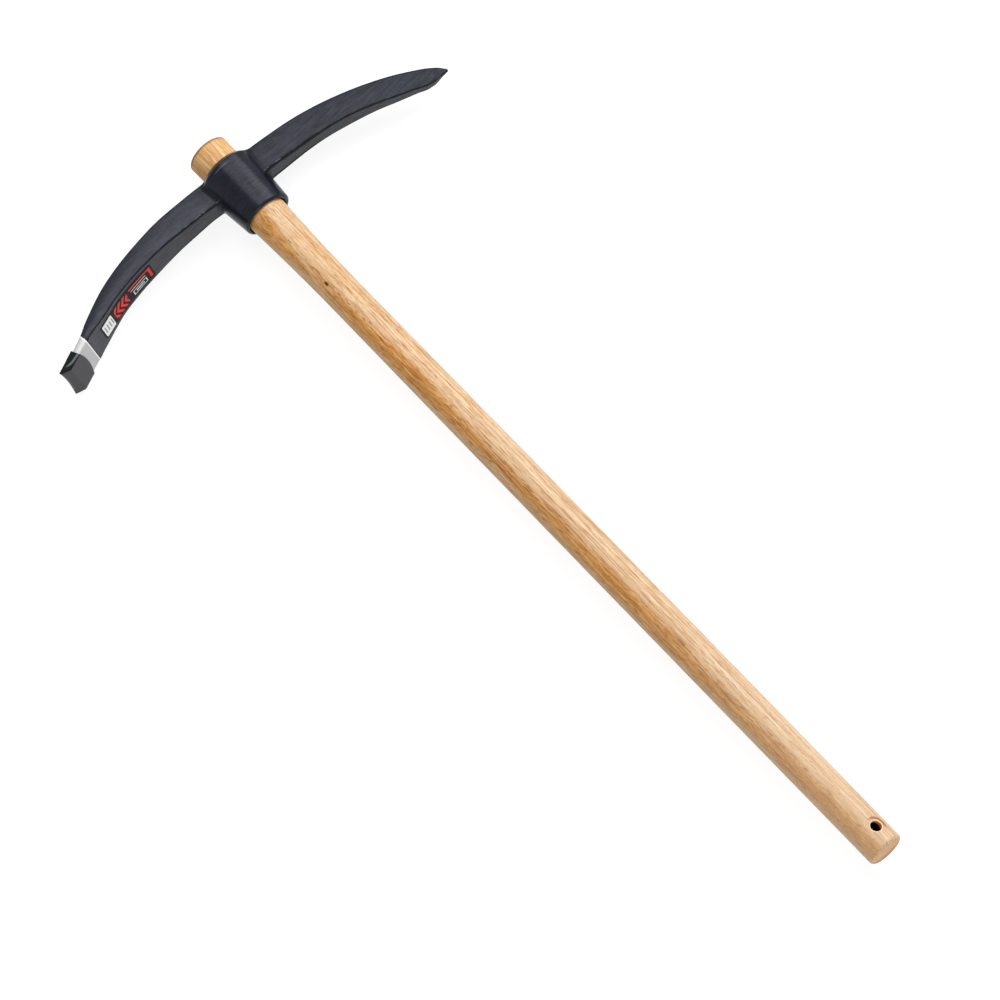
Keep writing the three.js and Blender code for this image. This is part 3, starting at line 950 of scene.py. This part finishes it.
def marked_hole(f, wood, x, y, z):
    """The hanging hole: painted shade inside, painted light on its wall, a painted highlight on
    its rim, and browned beside its upper rim.
    """
    off_x, off_y = x - HOLE_PLACE, y - z * math.tan(HOLE_TURN)
    from_hole = (off_x * off_x + off_y * off_y * 0.83) ** 0.5
    to_light = off_x * 0.65 + off_y * 0.74
    from_axis = (y * y + z * z) ** 0.5
    near_hole = x.step(770.0, 772.0) * (1 - x.step(796.0, 796.6))
    # Painted shade deep inside the hole, reaching less far on the side towards the light
    inside = 1 - (from_axis + to_light * 0.45).step(11.4, 13.8)
    inside = inside * (1 - from_hole.step(4.4, 4.9)) * near_hole
    # A brown crescent beside the hole's upper rim
    browned = from_hole.step(5.4, 6.4) * (1 - from_hole.step(7.4, 8.8))
    browned = browned * (off_y - off_x * 0.6).step(1.0, 6.0) * near_hole * z.step(0.0, 2.0)
    browned_beside_rim = f.mix(browned * 0.85, wood, tint(160, 104, 58))
    # Painted highlight on the hole's rim
    rim = from_hole.step(4.2, 4.5) * (1 - from_hole.step(5.0, 5.5)) * near_hole
    rim_highlighted = f.mix(rim * 0.8, browned_beside_rim, tint(255, 226, 186))
    # Painted light on the hole's wall, in orange
    lit_wall = (1 - from_hole.step(4.2, 4.6)) * near_hole
    bored = f.mix(lit_wall * 0.95, rim_highlighted, tint(250, 150, 74))
    return f.mix(inside, bored, tint(8, 3, 2)), inside


def marked_butt(f, wood, x, y, z, row):
    """The butt: light scuffs on its edge, end grain with painted shade growing towards the far
    side, and painted shade along the far edge.
    """
    scuff_noise = f.noise(f.place((0.8, 0.6, 0.6)), 3.0, 0.7)
    edge = x.step(797.8, 798.6) * (1 - x.step(799.3, 799.8))
    scuffed = f.mix(edge * scuff_noise.step(0.54, 0.64) * 0.55, wood, tint(164, 104, 60))
    end_grain = x.step(799.0, 799.9)
    # Painted shade: the end face grows darker towards the far side
    shaded_end_tone = f.mix(z.step(-15.0, 2.0), tint(212, 168, 128), tint(255, 248, 232))
    end_face = f.mix(end_grain * (row * 0.2 + 0.8), scuffed, shaded_end_tone, "MULTIPLY")
    from_axis = (y * y + z * z) ** 0.5
    # Painted shade along the far edge of the end
    shaded_far_side = x.step(798.9, 799.5) * from_axis.step(10.0, 12.0) * (1 - z.step(-8.0, 1.0))
    return f.mix(shaded_far_side * 0.85, end_face, tint(104, 58, 28)), end_grain, shaded_far_side


def varnished_ash():
    """The handle's ash with its figure, its marks and its painted light and shade under varnish,
    which the end grain drinks.
    """
    f = Finish("varnished ash")
    x, y, z = f.axes(f.place())
    crown = 1 - x.step(18.0, 40.0)
    wood, streaks, fine, pores, row = ash_figure(f, x, y, z, crown)
    wood = toned_along(f, wood, x, crown, streaks)
    wood = marked_head_end(f, wood, x)
    wood, inside = marked_hole(f, wood, x, y, z)
    wood, end_grain, shaded_far_side = marked_butt(f, wood, x, y, z, row)
    # No varnish coat on the end grain, which drinks it, nor on the far edge of the butt or inside
    # the hanging hole, so their painted shade stays dark
    dry_end_and_shaded_side = (end_grain * 0.8).using("MAXIMUM", shaded_far_side)
    return f.set(
        Base_Color=wood,
        Roughness=0.36 + pores * 0.25 + (streaks - 0.5) * 0.12,
        Normal=f.bump(streaks * 0.3 + fine * 0.35 - pores * 0.8, 0.25, 0.08),
        Coat_Weight=(1 - inside) * (1 - dry_end_and_shaded_side) * 0.32,
        Coat_Roughness=0.32,
        Specular_IOR_Level=0.0,
    )


def satin_black_paint():
    """Satin black paint on a forged skin, with painted shade in creases and painted highlights on
    some edges.
    """
    f = Finish("satin black paint")
    ridge, outer = f.mark("ridge"), f.mark("outer_ridge")
    crease, on_arm = f.mark("crease"), f.mark("on_arm")
    x, y, _ = f.axes(f.place())
    cloud = f.noise(f.place((0.05, 0.05, 0.05)), 4.0, 0.6)
    mottle = f.noise(f.place((0.5, 0.5, 0.5)), 4.0, 0.65)
    peel = f.noise(f.place((1.7, 1.7, 1.7)), 2.0)
    dents = f.noise(f.place((0.11, 0.11, 0.11), (2.0, 5.0, 1.0)), 2.0)
    turned = f.noise(f.place((0.9, 0.09, 0.09)), 3.0, 0.6)
    drawn = f.noise(f.place((0.5, 0.07, 0.5)), 3.0, 0.6)
    hammered = f.noise(f.place((0.24, 0.16, 0.24), (1.0, 4.0, 0.0)), 4.0, 0.7)
    chips = f.noise(f.place((0.16, 0.16, 0.16), (5.0, 1.0, 0.0)), 4.0, 0.75)
    grain = f.mix(on_arm, turned, drawn)
    near_root = 1 - y.using("ABSOLUTE").step(58.0, 104.0)

    # The plain paint, clouded, greyed where it was hammered near the root, greyer towards the
    # point's tip as painted light, and finely spotted
    clouded = cloud.step(0.3, 0.7) * 0.6 + (grain - 0.5) * 1.2
    base = f.mix(clouded, tint(5, 6, 16), tint(21, 24, 45))
    # Greyer towards the point's tip as painted light
    hammered_and_tip_light = near_root * 0.3 + y.step(110.0, 170.0) * 0.35 + 0.1
    greyed = f.mix(hammered.step(0.48, 0.7) * hammered_and_tip_light * on_arm, base, tint(44, 50, 68))
    spotted = f.mix((mottle - 0.42).step(0.0, 0.25) * 0.5, greyed, tint(7, 8, 11))

    # Painted sheen on the inner sides, painted shade as dark lines under the ridges, along the
    # outer edges and in the creases, and painted highlights on some edges
    width = near_root * (y.step(0.0, 20.0) * 1.2 + 1.7) + 0.8
    under = (ridge + width).step(-0.5, 0.2) * (1 - ridge.step(-0.3, 0.35)) * on_arm
    outer_edge_shade = (1 - outer.step(0.5, 1.3)) * outer.step(-2.0, 0.0) * on_arm
    # Painted shade: dark lines under the ridges, along the outer edges and in the creases
    dark = (under * 0.9 + outer_edge_shade * 0.7 + crease * 0.9).using("MINIMUM", 1.0)
    # Painted sheen: the side faces of the chisel arm lighter near their inner ridge
    inner_side_sheen = (1 - ridge.step(5.0, 15.0)) * ridge.step(-0.2, 0.6)
    inner_side_sheen = inner_side_sheen * (1 - y.step(-40.0, -10.0)) * on_arm
    sheened = f.mix(inner_side_sheen * 0.5, spotted, tint(56, 57, 66))
    shaded_paint = f.mix(dark, sheened, tint(8, 8, 10))
    # Painted highlights in broken streaks on the ridges near the root
    ridge_highlight = ridge.step(0.0, 0.4) * (1 - ridge.step(0.7, 1.3)) * near_root
    ridge_highlight = ridge_highlight * chips.step(0.5, 0.62) * on_arm
    # Painted highlight: a short light line on the eye's top shoulder
    shoulder = x.step(EYE_TOP + 6.2, EYE_TOP + 6.8) * (1 - x.step(EYE_TOP + 7.1, EYE_TOP + 7.8))
    shoulder_highlight = shoulder * (1 - on_arm) * (1 - y.step(2.0, 8.0)) * y.step(-12.0, -6.0)
    highlighted = f.mix(ridge_highlight * 0.6 + shoulder_highlight * 0.35, shaded_paint, tint(118, 126, 138))

    forged = hammered * (near_root * on_arm * 1.2 + 0.4) - under * 1.5
    rough = peel * 0.3 + dents * 1.6 + mottle * 0.8 + grain * 2.4 + forged
    return f.set(
        Base_Color=highlighted,
        Roughness=0.3 + (mottle - 0.5) * 0.3 + (cloud - 0.5) * 0.1 + dark * 0.4,
        Normal=f.bump(rough, 0.5, 0.16),
        Coat_Weight=(1 - dark * 0.9) * ((grain - 0.5) * 0.5 + (mottle - 0.5) * 0.3 + 0.21),
        Coat_Roughness=0.25,
        Specular_IOR_Level=0.13,
        Specular_Tint=(0.76, 0.83, 1.0, 1.0),
    )


def ground_steel():
    """Bare steel with fine grinding lines across the bit, and a painted highlight beside the
    paint.
    """
    f = Finish("ground steel")
    x, y, z = f.axes(f.place())
    length, inward = bit_place(x, y)
    slant = (PAINT_END_CONCAVE - PAINT_END_OUTER) / chisel_arm.start_thickness
    from_paint = length - PAINT_END_OUTER - inward * slant
    lines_at = f.node("ShaderNodeCombineXYZ", None, length * 5.0, z * 0.14, 0.0).out()
    lines = f.noise(lines_at, 4.0, 0.7)
    cloud = f.noise(f.place((0.2, 0.2, 0.2)))
    ground = f.mix(lines * 0.6 + cloud * 0.4, tint(166, 167, 169), tint(200, 200, 198))
    # Painted highlight: a white line on the steel beside the paint
    paint_edge_highlight = 1 - from_paint.step(0.3, 0.9)
    return f.set(
        Base_Color=f.mix(paint_edge_highlight * 0.7, ground, tint(252, 252, 250)),
        Metallic=0.9,
        Roughness=0.56 + (lines - 0.5) * 0.2 + (cloud - 0.5) * 0.08,
        Normal=f.bump(lines, 0.25, 0.03),
    )


def guard_plastic():
    """Dark moulded plastic, smooth along its narrow sides and grained on its faces, with painted
    highlights along one side and its edges.
    """
    f = Finish("guard plastic")
    x, y, z = f.axes(f.place())
    aside = z.using("ABSOLUTE").step(CHISEL_WIDTH / 2 + 0.2, CHISEL_WIDTH / 2 + 0.8)
    grain = f.noise(f.place((2.6, 2.6, 2.6)), 3.0, 0.6)
    flow = f.noise(f.place((0.14, 0.14, 0.14)))
    face = f.mix(flow * 0.7 + grain * 0.3, tint(46, 46, 50), tint(76, 76, 79))
    length, inward = bit_place(x, y)
    # Painted highlight: a light streak along the narrow side, curving at the bend
    bent = (length - 22.0).using("MAXIMUM", 0.0)
    from_side_highlight = (inward - 6.0 + (length - 14.0) * 0.14 + bent * bent * 0.035).using("ABSOLUTE")
    side_highlight = (1 - from_side_highlight.step(0.3, 1.5)) * (1 - length.step(26.0, 31.0)) * aside
    side = f.mix(side_highlight * 0.85, tint(2, 4, 6), tint(108, 122, 134))
    # Painted highlight: a light line along the edges between the narrow sides and the faces
    edge = aside * (1 - aside) * 2.4
    return f.set(
        Base_Color=f.mix(edge, f.mix(aside, face, side), tint(112, 112, 118)),
        Roughness=0.4 + (flow - 0.5) * 0.18 + (grain - 0.5) * 0.1 + aside * 0.06,
        Normal=f.bump(grain * 0.6 + flow * 1.5, 0.3, 0.06),
        Specular_IOR_Level=0.12,
    )


def printed_label():
    """A generic printed film: chevrons, a light panel with plain bars, a box with a bar, lines."""
    f = Finish("printed label")
    u, v, _ = f.axes(f.node("ShaderNodeUVMap", {"uv_map": "print"}))
    soft = 0.12

    def between(value, low, high):
        return value.step(low - soft, low + soft) * (1 - value.step(high - soft, high + soft))

    middle = (v - (LABEL_NEAR_SIDE - LABEL_FAR_SIDE) / 2).using("ABSOLUTE")
    arrow = ((u + middle * 0.55) / 5.2).using("FRACT")
    chevrons = between(arrow * 5.2, 0.4, 3.1) * between(u, 30.0, 47.5)
    chevrons = chevrons * between(middle, -1.0, 8.2)
    past_u = ((u - 56.7).using("ABSOLUTE") - 5.0).using("MAXIMUM", 0.0)
    past_v = (middle - 8.2).using("MAXIMUM", 0.0)
    panel = 1 - ((past_u * past_u + past_v * past_v) ** 0.5).step(1.0, 1.25)
    bars = between(((u - 50.6) / 2.9).using("FRACT") * 2.9, 0.8, 2.0) * between(middle, -1.0, 5.2)
    box = between(u, 8.0, 24.0) * between(v, 3.4, 10.4)
    box = box - between(u, 9.0, 23.0) * between(v, 4.4, 9.4)
    bar = between(u, 11.2, 20.8) * between(v, 6.0, 7.8)
    line = between(u, 8.0, 26.0) * between(v, 13.0, 14.0)
    corner = between(u, 2.0, 27.0) * between(v, 16.6, 18.6)
    corner = corner + between(u, 2.0, 4.4) * between(v, 4.0, 18.6)
    ground = f.mix(f.noise(f.place((0.5, 0.5, 0.5)), 2.0), tint(14, 13, 16), tint(24, 23, 25))
    red = f.mix(chevrons + corner, ground, tint(236, 66, 58))
    ruled = f.mix(box + bar + line, red, tint(225, 226, 226))
    light = f.mix(panel, ruled, tint(250, 250, 250))
    return f.set(
        Base_Color=f.mix(panel * bars * 0.9, light, tint(150, 153, 158)),
        Roughness=0.36 + f.noise(f.place((0.6, 0.6, 0.6)), 2.0) * 0.12,
        Specular_IOR_Level=0.06,
    )


# Studio


def studio_floor():
    """White with the tool's shadow where it is seen, and plain pale paint for the light."""
    f = Finish("studio floor")
    seen = f.seen()
    return f.set(
        Base_Color=f.mix(seen, tint(240, 240, 240), tint(132, 132, 132)),
        Roughness=0.9,
        Specular_IOR_Level=0.0,
        Emission_Color=f.mix(seen, BLACK, WHITE),
        Emission_Strength=FLOOR_GLOW,
    )


def lay_floor():
    reach, height = FLOOR_REACH, CAD_BOX[0][2] - FLOOR_DROP
    mesh = bpy.data.meshes.new("floor")
    places = (-reach, -reach), (reach, -reach), (reach, reach), (-reach, reach)
    mesh.from_pydata([(x, y, height) for x, y in places], [], [(0, 1, 2, 3)])
    mesh.materials.append(studio_floor())
    floor = bpy.data.objects.new("floor", mesh)
    bpy.context.scene.collection.objects.link(floor)


def light_world():
    """A plain light on the tool, and plain white where the world itself is seen."""
    world = bpy.data.worlds.new("studio")
    bpy.context.scene.world = world
    tree = ShaderTree(world)
    light = tree.node("ShaderNodeBackground", None, WORLD_TONE, WORLD_LIGHT)
    white = tree.node("ShaderNodeBackground", None, WHITE, 1.0)
    both = tree.node("ShaderNodeMixShader", None, tree.seen(), light, white)
    tree.node("ShaderNodeOutputWorld", None, both)


def make_studio():
    """Floor, world and lamps, at a level where a colour renders about as it is written."""
    lay_floor()
    light_world()
    for name, (direction, size, power) in LAMPS.items():
        softbox(name, direction, size, power)
    bpy.context.scene.view_settings.view_transform = "Standard"


# The pieces


def finished(piece, material, body, slot, *nodes):
    """Hands a piece to the frame: its material if it has none, its body, and the solids it stands
    for, which it hides; the slot is not used.
    """
    if not piece.data.materials:
        piece.data.materials.append(material)
    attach(piece, body)
    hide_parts(*nodes)


place_camera()
make_studio()

wood = varnished_ash()
finished(make_handle(wood), wood, "shaft", "handle_wood", "handle")

forging_cell = FORGING_CELL
forging = skin("forged_head", painted_distance, *FORGING_BOX, forging_cell)
mark_forging(forging)
finished(forging, satin_black_paint(), "head", "head_paint", "pick_head")
bit = skin("ground_bit", bright_distance, *BIT_BOX, BIT_CELL)
finished(bit, ground_steel(), "head", "head_paint", "pick_head")
guard = skin("guard_sleeve", guard_distance, *GUARD_BOX, GUARD_CELL)
finished(guard, guard_plastic(), "guard", "guard_plastic", "edge_guard")
film = printed_label()
finished(make_label(film), film, "head", "label_film", "label")
